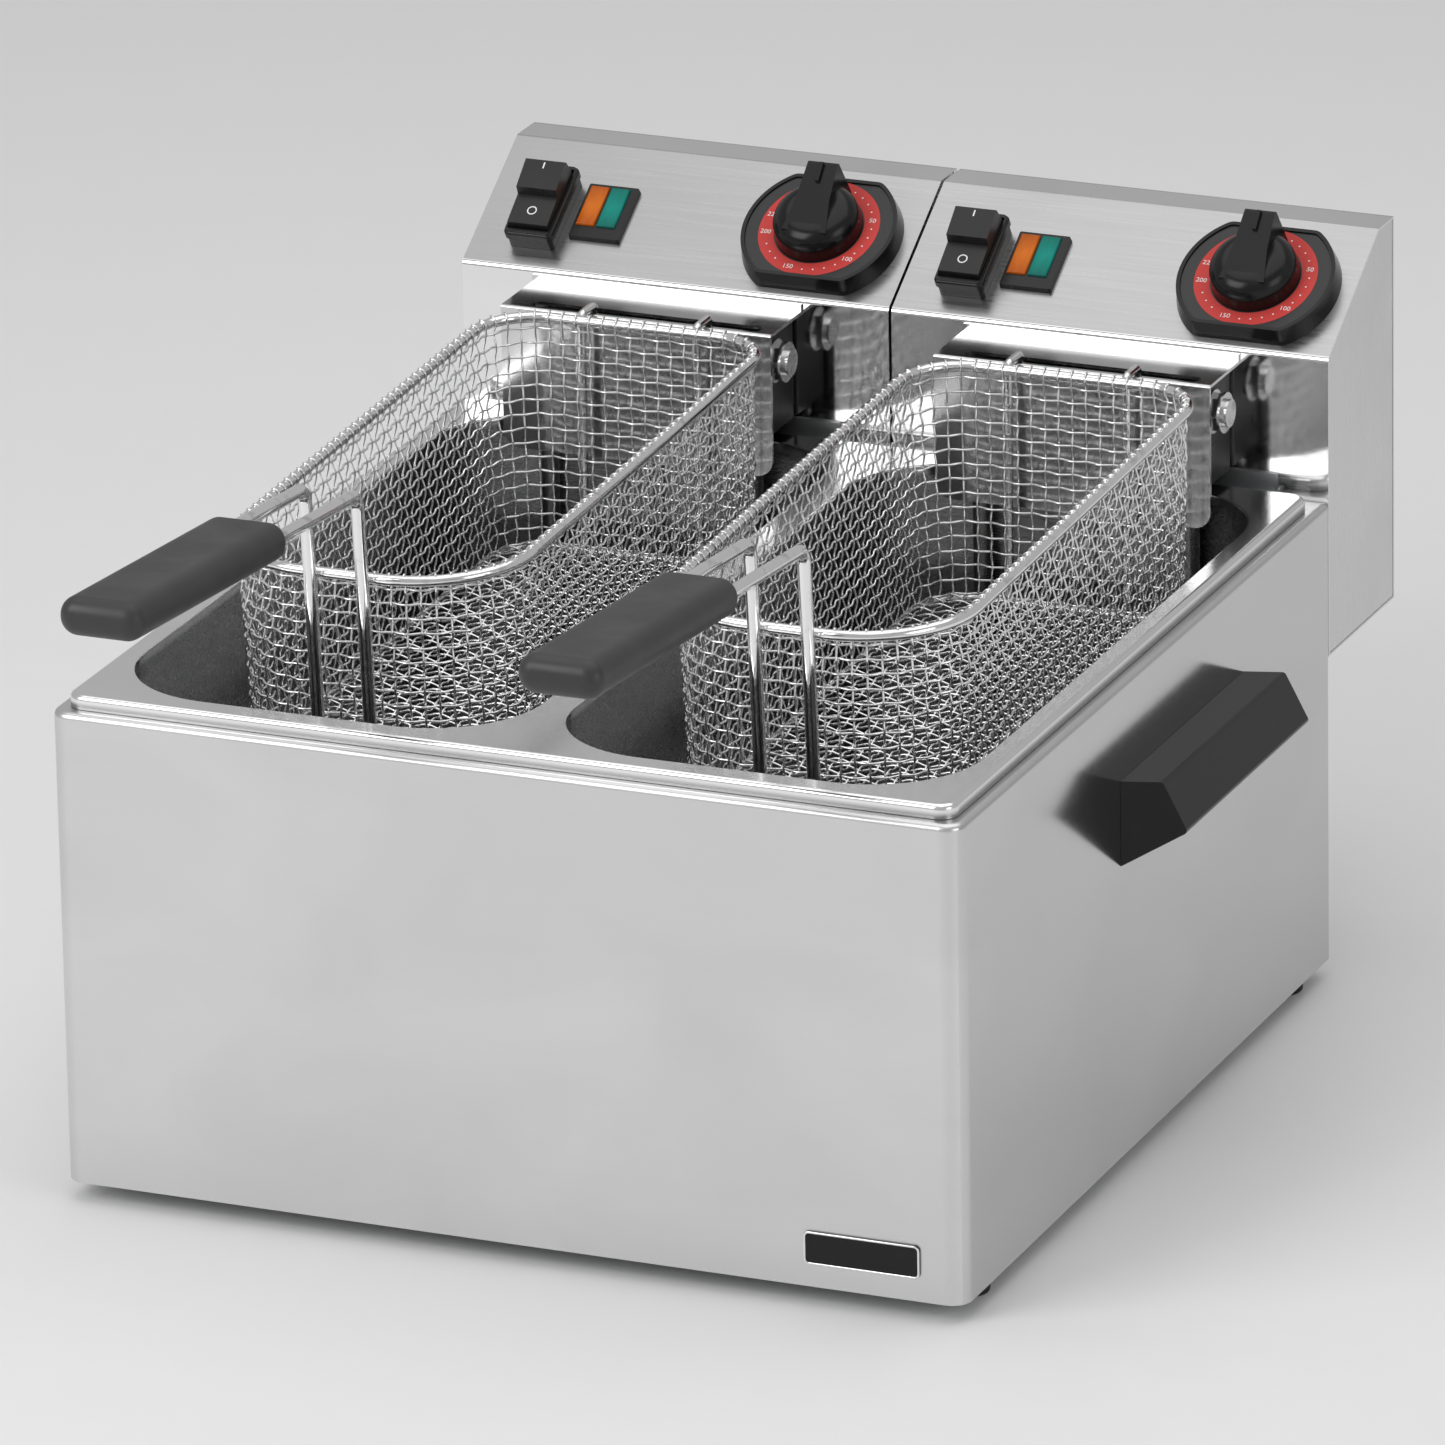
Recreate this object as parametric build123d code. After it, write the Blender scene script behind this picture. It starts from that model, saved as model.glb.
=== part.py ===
"""Twin-tank countertop deep fryer: a housing, a twin-well tank, two lift-off control heads and two wire baskets.

Millimetres, +Z up, front towards -Y. Every function works in fryer coordinates: X from the middle plane,
Y from the housing's front face towards the back, Z from the floor. Head and basket functions are written
about X = 0 and moved sideways to each side, and export_node() moves everything to the part's own origin,
the centre of its bounding box on the floor.
"""

from build123d import *
import math
import os

# Housing
BODY_W = 420.0
BODY_D = 443.0
BODY_H = 216.0
FOOT_H = 9.0
SHEET = 1.2
BODY_FRONT_R = 9.0
BODY_REAR_R = 3.0
BODY_TOP_R = 3.0
FLANGE_W = 12.0
BODY_TOP = FOOT_H + BODY_H
FOOT_R = 10.0
FOOT_INSET_X = 15.0
FOOT_Y = (40.0, 419.0)

# Tank
TANK_SHEET = 1.0
RIM_W = 409.0
RIM_Y0 = 6.0
RIM_Y1 = 433.0
RIM_H = 6.3
RIM_R = 8.0
RIM_GAP = 0.2
RIM_TOP = BODY_TOP + RIM_GAP + RIM_H
WELL_W = 187.0
WELL_X = 101.0
WELL_Y0 = 18.0
WELL_Y1 = 421.0
WELL_R = 49.0
WELL_FLOOR = 62.0
WELL_FLOOR_R = 18.0
WELL_LIP_R = 4.0

# Side handles
GRIP_Y0 = 185.0
GRIP_Y1 = 334.0
HANDLE_LOW_Z = FOOT_H + 134.0
HANDLE_TOP_Z = FOOT_H + 173.0

# Control heads
HEAD_X = 105.0
HEAD_W = 208.6
HEAD_Y0 = 443.5
HEAD_Y1 = 528.0
HEAD_Z0 = FOOT_H + 143.0
SLOPE_Z = FOOT_H + 282.7
SLOPE_LEN = 77.0
SLOPE_DEG = 32.0
HEAD_SHEET = 1.0
SLOPE_Y1 = HEAD_Y0 + SLOPE_LEN * math.cos(math.radians(SLOPE_DEG))
HEAD_TOP = SLOPE_Z + SLOPE_LEN * math.sin(math.radians(SLOPE_DEG))

# Controls on the sloping panel: x across the head, s up the slope from its lower bend
DIAL_X, DIAL_S = 60.5, 35.5
DIAL_R, DIAL_FLAT, DIAL_H = 37.5, 31.0, 8.5
DIAL_RECESS = 1.6
RING_OUT_R, RING_IN_R = 28.2, 21.0
KNOB_R, KNOB_H = 20.4, 22.0
SPINDLE_R = 3.0
LAMP_X, LAMP_S = -46.1, 35.2
LAMP_W, LAMP_L, LAMP_H = 25.0, 32.0, 2.5
LENS_W, LENS_L = 9.0, 23.0
SWITCH_X, SWITCH_S = -74.0, 32.0
SWITCH_W, SWITCH_L = 22.0, 41.0
BOOT_H = 11.0
ROCKER_W, ROCKER_L = 19.6, 36.0
ROCKER_PIVOT_H = 4.5
ROCKER_REST_DEG = 6.0

# Splash guard that carries the basket, and the element's terminal box behind it
GUARD_X0, GUARD_X1 = -69.0, 62.5
GUARD_Y0 = 406.0
GUARD_TOP = FOOT_H + 277.3
GUARD_BOTTOM = FOOT_H + 210.0
GUARD_SHEET = 1.5
SLOT_Y0, SLOT_Y1 = 409.0, 416.0
SLOT_W = 112.0
TBOX_X0, TBOX_X1 = -60.0, 58.5
TBOX_Y0 = 408.2
TBOX_Z0, TBOX_Z1 = FOOT_H + 227.0, GUARD_TOP - 3.6
NUT_Y, NUT_Z = 419.0, FOOT_H + 261.0

# Heating element and thermostat bulb
TUBE_R = 4.0
ELEMENT_Z = 80.0
ELEMENT_Y0 = 75.0
ELEMENT_Y1 = 350.0
ELEMENT_LEG_Y = 414.5
ELEMENT_OUT_X, ELEMENT_IN_X = 50.0, 19.0
ELEMENT_BEND = 14.0
CAPILLARY_R = 1.2
BULB_R = 3.0
BULB_Y0, BULB_Y1 = 150.0, 270.0
BULB_Z = 88.0

# Baskets
BASKET_X = 103.0
BASKET_W = 140.0
BASKET_Y0, BASKET_Y1 = 70.0, 397.0
BASKET_RIM_Z = FOOT_H + 278.0
BASKET_DEPTH = 108.0
BASKET_DRAFT = 1.5
BASKET_TILT = 2.0
BASKET_FRONT_R, BASKET_REAR_R = 52.0, 30.0
BASKET_WALL = 2.0
RIM_WIRE_R, RING_WIRE_R, HOOK_WIRE_R = 2.5, 1.8, 2.0
HOOK_X = 28.0
HOOK_Y = 398.0
HOOK_TIP_Y = 412.5
HOOK_DROP = 5.2
ROD_R = 3.0
ROD_X = 12.25
ROD_Y = BASKET_Y0 - ROD_R - 0.2
ROD_RISE = 41.0
GRIP_W, GRIP_T, GRIP_L = 38.0, 17.0, 150.0
GRIP_BACK = 86.0
GRIP_UP_DEG = 6.5

# Furthest points in Y, used to put the origin at the centre of the bounding box
BBOX_FRONT = -169.84
BBOX_BACK = 529.95
Y_CENTRE = (BBOX_FRONT + BBOX_BACK) / 2


def export_node(shape, name):
    """Moves a shape from fryer coordinates to the part's origin and writes it."""
    moved = Pos(0, -Y_CENTRE, 0) * shape
    moved.label = name
    export_step(moved, f"parts/{name}.step")


def block(x0, x1, y0, y1, z0, z1):
    """A box between two corners."""
    return Pos((x0 + x1) / 2, (y0 + y1) / 2, (z0 + z1) / 2) * Box(x1 - x0, y1 - y0, z1 - z0)


def slab(x0, x1, y0, y1, z0, z1, radius):
    """A box with rounded vertical edges."""
    outline = RectangleRounded(x1 - x0, y1 - y0, radius)
    return extrude(Pos((x0 + x1) / 2, (y0 + y1) / 2, z0) * outline, z1 - z0)


def edges_at(shape, z, tolerance=0.01):
    """The edges that lie wholly at one height."""
    return shape.edges().filter_by_position(Axis.Z, z - tolerance, z + tolerance)


def tube(path, radius):
    """A round bar swept along a path that starts at its first point."""
    return sweep(Plane(path @ 0, z_dir=path % 0) * Circle(radius), path=path)


def profile_x(points, x0, x1):
    """A YZ outline extruded across X."""
    face = make_face(Polyline([(0, y, z) for y, z in points], close=True))
    return Pos(x0, 0, 0) * extrude(face, x1 - x0, dir=(1, 0, 0))


def rod_y(radius, length, x, y, z):
    """A round bar along +Y from a point."""
    return Pos(x, y + length / 2, z) * Rot(90, 0, 0) * Cylinder(radius, length)


def rod_x(radius, length, x, y, z):
    """A round bar along +X from a point."""
    return Pos(x + length / 2, y, z) * Rot(0, 90, 0) * Cylinder(radius, length)


# ---------------------------------------------------------------- housing


def housing_outline(inset):
    """The plan of the housing: large radii at the two front corners and small ones at the back."""
    half = BODY_W / 2 - inset
    y0, y1 = inset, BODY_D - inset
    face = make_face(Polyline((-half, y0), (half, y0), (half, y1), (-half, y1), close=True))
    face = fillet(face.vertices().sort_by(Axis.Y)[:2], BODY_FRONT_R - inset)
    return fillet(face.vertices().sort_by(Axis.Y)[-2:], BODY_REAR_R - inset)


def housing():
    """The folded steel skin: four walls and a flange turned inwards at the top."""
    outer = Pos(0, 0, FOOT_H) * extrude(housing_outline(0), BODY_H)
    outer = fillet(edges_at(outer, BODY_TOP), BODY_TOP_R)
    inner = Pos(0, 0, FOOT_H) * extrude(housing_outline(SHEET), BODY_H - SHEET)
    inner = fillet(edges_at(inner, BODY_TOP - SHEET), BODY_TOP_R - SHEET)
    half = BODY_W / 2 - FLANGE_W
    mouth = slab(-half, half, FLANGE_W, BODY_D - FLANGE_W, BODY_TOP - 5, BODY_TOP + 5, 6)
    shell = outer - inner - mouth
    for side in (-1, 1):
        for y in handle_screw_places():
            shell -= rod_x(2.6, 6, side * BODY_W / 2 - 3, y, handle_screw_z())
    return shell


def base_plate():
    """The floor of the housing, with rows of air slots and a hole for each foot's stud."""
    gap = SHEET + 0.3
    plate = slab(-BODY_W / 2 + gap, BODY_W / 2 - gap, gap, BODY_D - gap, FOOT_H, FOOT_H + 1.5, BODY_FRONT_R)
    for column in range(-4, 5):
        for y in (130.0, 310.0):
            slot = SlotOverall(60, 6, rotation=90)
            plate -= extrude(Pos(column * 34, y, FOOT_H - 1) * slot, 4)
    for x, y in foot_places():
        plate -= Pos(x, y, FOOT_H) * Cylinder(3.1, 8)
    return plate


def foot_places():
    """The middle of each foot."""
    x = BODY_W / 2 - FOOT_INSET_X
    return [(sx * x, y) for sx in (-1, 1) for y in FOOT_Y]


def feet():
    """Four round rubber feet, each with a stud through the base plate."""
    solids = []
    for x, y in foot_places():
        pad = Pos(x, y, FOOT_H / 2) * Cylinder(FOOT_R, FOOT_H)
        pad = fillet(edges_at(pad, 0), 1.5)
        solids.append(pad + Pos(x, y, FOOT_H + 2) * Cylinder(2.8, 5))
    return Compound(solids)


def handle_screw_places():
    """Where each side handle's two screws cross the wall, along Y."""
    return (GRIP_Y0 + 28, GRIP_Y1 - 28)


def handle_screw_z():
    """The height of the side handles' screws."""
    return (HANDLE_LOW_Z + HANDLE_TOP_Z) / 2


def side_handle(side):
    """A faceted bar for lifting the fryer, with two blind holes for its screws."""
    wall = BODY_W / 2 + 0.1
    points = [
        (wall, HANDLE_LOW_Z),
        (wall, HANDLE_TOP_Z),
        (wall + 19.5, HANDLE_TOP_Z + 2.0),
        (wall + 31.0, HANDLE_TOP_Z - 19.5),
    ]
    face = make_face(Polyline([(x, 0, z) for x, z in points], close=True))
    bar = Pos(0, GRIP_Y0, 0) * extrude(face, GRIP_Y1 - GRIP_Y0, dir=(0, 1, 0))
    outer = bar.edges().filter_by(Axis.Y).filter_by_position(Axis.X, wall + 5, wall + 40)
    bar = fillet(outer, 2.0)
    for y in handle_screw_places():
        bar -= rod_x(2.6, 14, wall - 1, y, handle_screw_z())
    return bar if side > 0 else mirror(bar, Plane.YZ)


def handle_screws():
    """Screws that hold the side handles, put in from inside the housing."""
    solids = []
    for side in (-1, 1):
        inside = BODY_W / 2 - SHEET - 0.1
        for y in handle_screw_places():
            screw = rod_x(2.3, 14, inside - 1, y, handle_screw_z())
            screw += rod_x(5.0, 3, inside - 3, y, handle_screw_z())
            solids.append(screw if side > 0 else mirror(screw, Plane.YZ))
    return Compound(solids)


def badge():
    """A plain name plate with rounded corners at the front's lower right."""
    plate = extrude(Plane.XZ * Pos(163.5, FOOT_H + 18, 0) * RectangleRounded(53, 15, 2.5), 1.0)
    return Pos(0, -0.05, 0) * plate


# ---------------------------------------------------------------- tank


def well_outline(side, grow):
    """The plan of one well, grown outwards all round."""
    width = WELL_W + 2 * grow
    depth = WELL_Y1 - WELL_Y0 + 2 * grow
    middle = (WELL_Y0 + WELL_Y1) / 2
    return Pos(side * WELL_X, middle, 0) * RectangleRounded(width, depth, WELL_R + grow)


def tank():
    """One pressed sheet with two deep wells and a rolled rim that rests on the housing's flange."""
    low = RIM_TOP - RIM_H
    sheet_low = RIM_TOP - TANK_SHEET
    body = slab(-RIM_W / 2, RIM_W / 2, RIM_Y0, RIM_Y1, low, RIM_TOP, RIM_R)
    body = fillet(edges_at(body, RIM_TOP), 2.5)
    inset = TANK_SHEET
    under = slab(
        -RIM_W / 2 + inset, RIM_W / 2 - inset, RIM_Y0 + inset, RIM_Y1 - inset, low - 1, sheet_low, RIM_R - inset
    )
    for side in (-1, 1):
        under -= Pos(0, 0, low - 2) * extrude(well_outline(side, TANK_SHEET), RIM_H + 4)
    under = fillet(edges_at(under, sheet_low), 1.5)
    body -= under
    for side in (-1, 1):
        bowl = Pos(0, 0, WELL_FLOOR) * extrude(well_outline(side, TANK_SHEET), sheet_low - WELL_FLOOR)
        bowl = fillet(edges_at(bowl, WELL_FLOOR), WELL_FLOOR_R + TANK_SHEET)
        body += bowl
    for side in (-1, 1):
        floor = WELL_FLOOR + TANK_SHEET
        hollow = Pos(0, 0, floor) * extrude(well_outline(side, 0), RIM_TOP + 5 - floor)
        hollow = fillet(edges_at(hollow, floor), WELL_FLOOR_R)
        body -= hollow
    lips = [e for e in edges_at(body, RIM_TOP) if WELL_Y0 - 1 < e.center().Y < WELL_Y1 + 1]
    lips = [e for e in lips if abs(e.center().X) < WELL_X + WELL_W / 2 + 1]
    return fillet(lips, 0.9)


# ---------------------------------------------------------------- control heads


def panel_plane():
    """The sloping panel: local X across the head, local Y up the slope, local Z out of the panel."""
    a = math.radians(SLOPE_DEG)
    return Plane(origin=(0, HEAD_Y0, SLOPE_Z), x_dir=(1, 0, 0), z_dir=(0, -math.sin(a), math.cos(a)))


def on_panel(shape, x, s, h=0.0):
    """Stands a shape on the sloping panel."""
    return panel_plane().location * Pos(x, s, h) * shape


def head_profile(inset):
    """The head's side outline, inset all round."""
    a = math.radians(SLOPE_DEG)
    corner = inset * math.tan(math.radians(45) - a / 2)
    top_bend = inset * math.tan(a / 2)
    return [
        (HEAD_Y0 + inset, HEAD_Z0 + inset),
        (HEAD_Y0 + inset, SLOPE_Z - corner),
        (SLOPE_Y1 + top_bend, HEAD_TOP - inset),
        (HEAD_Y1 - inset, HEAD_TOP - inset),
        (HEAD_Y1 - inset, HEAD_Z0 + inset),
    ]


def panel_openings():
    """Holes through the sloping panel for the switch, the lamps and the thermostat's bush."""
    depth = 6
    cuts = on_panel(Box(16, 30, depth), SWITCH_X, SWITCH_S)
    cuts += on_panel(Box(LAMP_W - 4, LAMP_L - 4, depth), LAMP_X, LAMP_S)
    cuts += on_panel(Cylinder(6.0, depth), DIAL_X, DIAL_S)
    return cuts


def rounded_box_profile(inset, x0, x1, radii):
    """The head's closed outline as a solid, with its bends rounded."""
    solid = profile_x(head_profile(inset), x0, x1)
    for (y, z), radius in radii:
        edge = solid.edges().filter_by(Axis.X)
        edge = [e for e in edge if abs(e.center().Y - y) < 0.5 and abs(e.center().Z - z) < 0.5]
        solid = fillet(edge, radius)
    return solid


def head_shell():
    """The wrapped front sheet: front, sloping panel and narrow top."""
    half = HEAD_W / 2
    outer_points = head_profile(0)
    inner_points = head_profile(HEAD_SHEET)
    outer_radii = [(outer_points[1], 3.5), (outer_points[2], 3.0)]
    inner_radii = [(inner_points[1], 2.5), (inner_points[2], 2.0)]
    outer = rounded_box_profile(0, -half, half, outer_radii)
    inner = rounded_box_profile(HEAD_SHEET, -half - 1, half + 1, inner_radii)
    shell = outer - inner
    shell -= block(-half - 1, half + 1, HEAD_Y1 - HEAD_SHEET - 0.1, HEAD_Y1 + 1, HEAD_Z0 - 1, HEAD_TOP + 1)
    shell -= block(-half - 1, half + 1, HEAD_Y0 + HEAD_SHEET + 0.1, HEAD_Y1 + 1, HEAD_Z0 - 1, HEAD_Z0 + 5)
    shell -= panel_openings()
    for x in (-44, 44):
        shell -= rod_y(3.2, 6, x, HEAD_Y0 - 3, FOOT_H + 255)
    return shell


def head_back_cover():
    """The back sheet, turned forwards underneath to close the head's floor."""
    half = HEAD_W / 2 - 0.1
    back = block(-half, half, HEAD_Y1 - HEAD_SHEET, HEAD_Y1, HEAD_Z0, HEAD_TOP)
    floor = block(-half, half, HEAD_Y0 + HEAD_SHEET + 0.2, HEAD_Y1, HEAD_Z0, HEAD_Z0 + HEAD_SHEET)
    cover = back + floor
    cover = fillet(
        [e for e in cover.edges().filter_by(Axis.X) if e.center().Y > HEAD_Y1 - 0.1 and e.center().Z < HEAD_Z0 + 0.1],
        0.9,
    )
    for row in range(5):
        for column in (-1, 1):
            vent = SlotOverall(56, 4)
            z = HEAD_Z0 + 60 + row * 12
            cover -= extrude(Plane.XZ * Pos(column * 45, z, -HEAD_Y1 - 2) * vent, 6)
    cover -= Pos(50, 485, HEAD_Z0) * Cylinder(8.1, 8)
    cover -= Pos(-50, 485, HEAD_Z0) * Cylinder(5.2, 8)
    for x, z in back_screw_places():
        cover -= rod_y(1.6, 6, x, HEAD_Y1 - 4, z)
    return cover


def back_screw_places():
    """Where screws go through the back cover."""
    half = HEAD_W / 2 - 10
    return [(sx * half, z) for sx in (-1, 1) for z in (HEAD_Z0 + 14, (HEAD_Z0 + HEAD_TOP) / 2, HEAD_TOP - 14)]


def head_screws():
    """Pan-head screws that hold the back cover."""
    solids = []
    for x, z in back_screw_places():
        head = rod_y(3.2, 1.9, x, HEAD_Y1 + 0.05, z)
        head = fillet(head.edges().sort_by(Axis.Y)[-1], 1.0)
        solids.append(head + rod_y(1.5, 7, x, HEAD_Y1 - 6, z))
    return Compound(solids)


def end_plates():
    """The two cheeks that close the head's ends inside the wrapped sheets."""
    gap = HEAD_SHEET + 0.15
    outer = HEAD_W / 2 - 0.3
    plate = profile_x(head_profile(gap), outer - 1.2, outer)
    return Compound([plate, mirror(plate, Plane.YZ)])


def hanger():
    """The angle that hangs the head on the housing's rear edge, behind the tank's rim."""
    y1 = HEAD_Y0 - 0.05
    foot = block(-80, 80, RIM_Y1 + 1, y1, BODY_TOP + 0.3, BODY_TOP + 1.8)
    leg = block(-80, 80, y1 - 1.5, y1, BODY_TOP + 0.3, TBOX_Z0 - 0.5)
    return foot + leg


def guard():
    """The polished plate over the terminals: a shelf with a slot for the basket's hooks, turned down in front."""
    x0, x1 = GUARD_X0, GUARD_X1
    y1 = HEAD_Y0 - 0.05
    shelf = block(x0, x1, GUARD_Y0, y1, GUARD_TOP - GUARD_SHEET, GUARD_TOP)
    apron = block(x0, x1, GUARD_Y0, GUARD_Y0 + GUARD_SHEET, GUARD_BOTTOM, GUARD_TOP)
    lip = block(x0, x1, y1 - GUARD_SHEET, y1, GUARD_TOP - GUARD_SHEET, GUARD_TOP + 3.2)
    sheet = shelf + apron + lip
    low = [
        e
        for e in sheet.edges().filter_by(Axis.Y)
        if e.center().Z < GUARD_BOTTOM + 0.1 and min(abs(e.center().X - x0), abs(e.center().X - x1)) < 0.1
    ]
    sheet = fillet(low, 8.0)
    front = [
        e
        for e in sheet.edges().filter_by(Axis.X)
        if abs(e.center().Z - GUARD_TOP) < 0.1 and abs(e.center().Y - GUARD_Y0) < 0.1
    ]
    sheet = fillet(front, 1.4)
    slot = SlotOverall(SLOT_W, SLOT_Y1 - SLOT_Y0)
    sheet -= extrude(Pos(0, (SLOT_Y0 + SLOT_Y1) / 2, GUARD_TOP - 4) * slot, 8)
    return sheet


def terminal_box():
    """The black box that covers the element's terminals, open at its back where it meets the head."""
    y1 = HEAD_Y0 - 0.1
    box = slab(TBOX_X0, TBOX_X1, TBOX_Y0, y1, TBOX_Z0, TBOX_Z1, 3)
    cavity = block(TBOX_X0 + 2, TBOX_X1 - 2, TBOX_Y0 + 2, y1 + 1, TBOX_Z0 + 2, TBOX_Z1 - 2)
    box -= cavity
    for x in (-ELEMENT_OUT_X, ELEMENT_OUT_X):
        box -= Pos(x, ELEMENT_LEG_Y, TBOX_Z0) * Cylinder(TUBE_R, 10)
    box -= Pos(0, ELEMENT_LEG_Y, TBOX_Z0) * Cylinder(CAPILLARY_R, 10)
    return box - rod_x(4, 8, TBOX_X1 - 4, NUT_Y, NUT_Z)


def terminal_gland():
    """The nut and washers on the terminal box's right side."""
    stack = rod_x(3.9, 12, TBOX_X1 - 3, NUT_Y, NUT_Z)
    stack += rod_x(10, 1.4, TBOX_X1 + 0.05, NUT_Y, NUT_Z)
    hexagon = Plane.YZ * Pos(NUT_Y, NUT_Z, TBOX_X1 + 1.4) * RegularPolygon(8.6, 6)
    stack += extrude(hexagon, 4.2)
    stack += rod_x(9.2, 1.2, TBOX_X1 + 5.6, NUT_Y, NUT_Z)
    stack += rod_x(6.4, 2.4, TBOX_X1 + 6.6, NUT_Y, NUT_Z)
    return stack


def heating_element():
    """One tubular heater: down behind the guard and in four runs along the bottom of the well."""
    top = TBOX_Z0 + 14
    out, mid = ELEMENT_OUT_X, ELEMENT_IN_X
    points = [
        (-out, ELEMENT_LEG_Y, top),
        (-out, ELEMENT_LEG_Y, ELEMENT_Z),
        (-out, ELEMENT_Y0, ELEMENT_Z),
        (-mid, ELEMENT_Y0, ELEMENT_Z),
        (-mid, ELEMENT_Y1, ELEMENT_Z),
        (mid, ELEMENT_Y1, ELEMENT_Z),
        (mid, ELEMENT_Y0, ELEMENT_Z),
        (out, ELEMENT_Y0, ELEMENT_Z),
        (out, ELEMENT_LEG_Y, ELEMENT_Z),
        (out, ELEMENT_LEG_Y, top),
    ]
    return tube(FilletPolyline(*points, radius=ELEMENT_BEND), TUBE_R)


def thermostat_bulb():
    """The thermostat's sensing bulb, lying between the element's runs, with its capillary."""
    points = [
        (0, BULB_Y1, BULB_Z),
        (0, ELEMENT_LEG_Y, BULB_Z),
        (0, ELEMENT_LEG_Y, TBOX_Z0 + 14),
    ]
    line = tube(FilletPolyline(*points, radius=10), CAPILLARY_R)
    bulb = rod_y(BULB_R, BULB_Y1 + 1 - BULB_Y0, 0, BULB_Y0, BULB_Z)
    bulb = fillet(bulb.edges().sort_by(Axis.Y)[0], 2.0)
    return line + bulb


def cable_gland():
    """The empty cable gland under the head: a nut above the floor, a collar and a dome nut below it."""
    gland = Pos(50, 485, HEAD_Z0 + 4.2) * Cylinder(11, 6)
    gland += Pos(50, 485, HEAD_Z0) * Cylinder(8, 16)
    gland += extrude(Pos(50, 485, HEAD_Z0 - 0.1) * RegularPolygon(12, 6), -6)
    gland += Pos(50, 485, HEAD_Z0 - 10) * Cylinder(9.5, 9)
    return gland - Pos(50, 485, HEAD_Z0) * Cylinder(4.2, 60)


def limiter():
    """The safety thermostat: a block on the head's floor with the reset button's neck through it."""
    body = block(-66, -34, 470, 500, HEAD_Z0 + HEAD_SHEET + 0.1, HEAD_Z0 + 26)
    neck = Pos(-50, 485, HEAD_Z0 - 0.5) * Cylinder(5.1, 5)
    return body + neck - Pos(-50, 485, HEAD_Z0) * Cylinder(3.05, 20)


def reset_button():
    """The safety thermostat's push button, under the head."""
    stem = Pos(-50, 485, HEAD_Z0 - 1) * Cylinder(3.0, 11)
    cap = Pos(-50, 485, HEAD_Z0 - 6.6) * Cylinder(4.4, 1.6)
    return stem + fillet(edges_at(cap, HEAD_Z0 - 7.4), 0.7)


def thermostat():
    """The thermostat behind the panel, with the bush that the knob's spindle turns in."""
    body = Box(38, 34, 26)
    bush = Pos(0, 0, 13 + 4) * Cylinder(5.6, 9)
    bore = Pos(0, 0, 12) * Cylinder(SPINDLE_R + 0.05, 22)
    return on_panel(Pos(0, 0, -HEAD_SHEET - 13.2) * (body + bush - bore), DIAL_X, DIAL_S)


def dial_outline(inset):
    """A circle with flats at the top and bottom and rounded corners."""
    disc = Circle(DIAL_R - inset) & Rectangle(4 * DIAL_R, 2 * (DIAL_FLAT - inset))
    return fillet(disc.vertices(), 7.0 - inset)


def dial_bezel():
    """The black moulding round the thermostat's scale: sloping sides and a shallow recess."""
    solid = extrude(dial_outline(0), DIAL_H, taper=9)
    top_inset = DIAL_H * math.tan(math.radians(9))
    recess = Pos(0, 0, DIAL_H - DIAL_RECESS) * extrude(dial_outline(top_inset + 1.8), 5)
    bore = Cylinder(7.0, 4 * DIAL_H)
    return on_panel(Pos(0, 0, 0.1) * (solid - recess - bore), DIAL_X, DIAL_S)


def dial_plate():
    """The printed scale plate that lies in the bezel's recess."""
    inset = DIAL_H * math.tan(math.radians(9)) + 1.8 + 0.15
    plate = extrude(dial_outline(inset), 0.8) - Cylinder(7.0, 4)
    return on_panel(Pos(0, 0, DIAL_H - DIAL_RECESS + 0.15) * plate, DIAL_X, DIAL_S)


def knob_base_h():
    """How far the knob's underside stands off the panel."""
    return DIAL_H - DIAL_RECESS + 0.15 + 0.8 + 0.4


def knob():
    """The thermostat knob: a domed skirt under a broad pointer that slopes towards its tail, on a steel spindle."""
    skirt = extrude(Circle(KNOB_R), 14.0, taper=4)
    skirt = fillet(skirt.edges().sort_by(Axis.Z)[-1], 9.0)
    half = [(11.5, -14.0), (9.0, 2.0), (8.2, 22.6)]
    pointer = Polyline(*half, *[(-x, y) for x, y in reversed(half)], close=True)
    fin = extrude(make_face(pointer), KNOB_H + 12, dir=(0, 0, 1), taper=3)
    fin -= Pos(0, 22.6, KNOB_H) * Rot(14, 0, 0) * Pos(0, 0, 20) * Box(80, 120, 40)
    fin = fillet(fin.edges().group_by(Axis.Z)[-1], 1.6)
    ridge = Pos(0, 15.2, KNOB_H - 1.4) * Rot(14, 0, 0) * Box(1.8, 9.5, 2.4)
    spindle = Pos(0, 0, -8) * Cylinder(SPINDLE_R, 20)
    return on_panel(Pos(0, 0, knob_base_h()) * (skirt + fin + ridge + spindle), DIAL_X, DIAL_S)


def lamp_bezel():
    """The black frame of the two pilot lamps, with its body through the panel."""
    flange = extrude(RectangleRounded(LAMP_W, LAMP_L, 1.2), LAMP_H, taper=8)
    body = Pos(0, 0, -8) * Box(LAMP_W - 4.2, LAMP_L - 4.2, 16.4)
    frame = Pos(0, 0, 0.1) * (flange + body)
    for x in lamp_places():
        frame -= Pos(x, 2.4, 4.2) * Box(LENS_W + 0.2, LENS_L + 0.2, 8)
    return on_panel(frame, LAMP_X, LAMP_S)


def lamp_places():
    """The middle of each lens across the bezel."""
    return (-6.2, 3.9)


def lamp_lens(which):
    """One pilot lamp's lens, standing a little above its frame."""
    lens = fillet(Box(LENS_W, LENS_L, 3.4).edges().group_by(Axis.Z)[-1], 0.8)
    return on_panel(Pos(lamp_places()[which], 2.4, 2.1) * lens, LAMP_X, LAMP_S)


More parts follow.
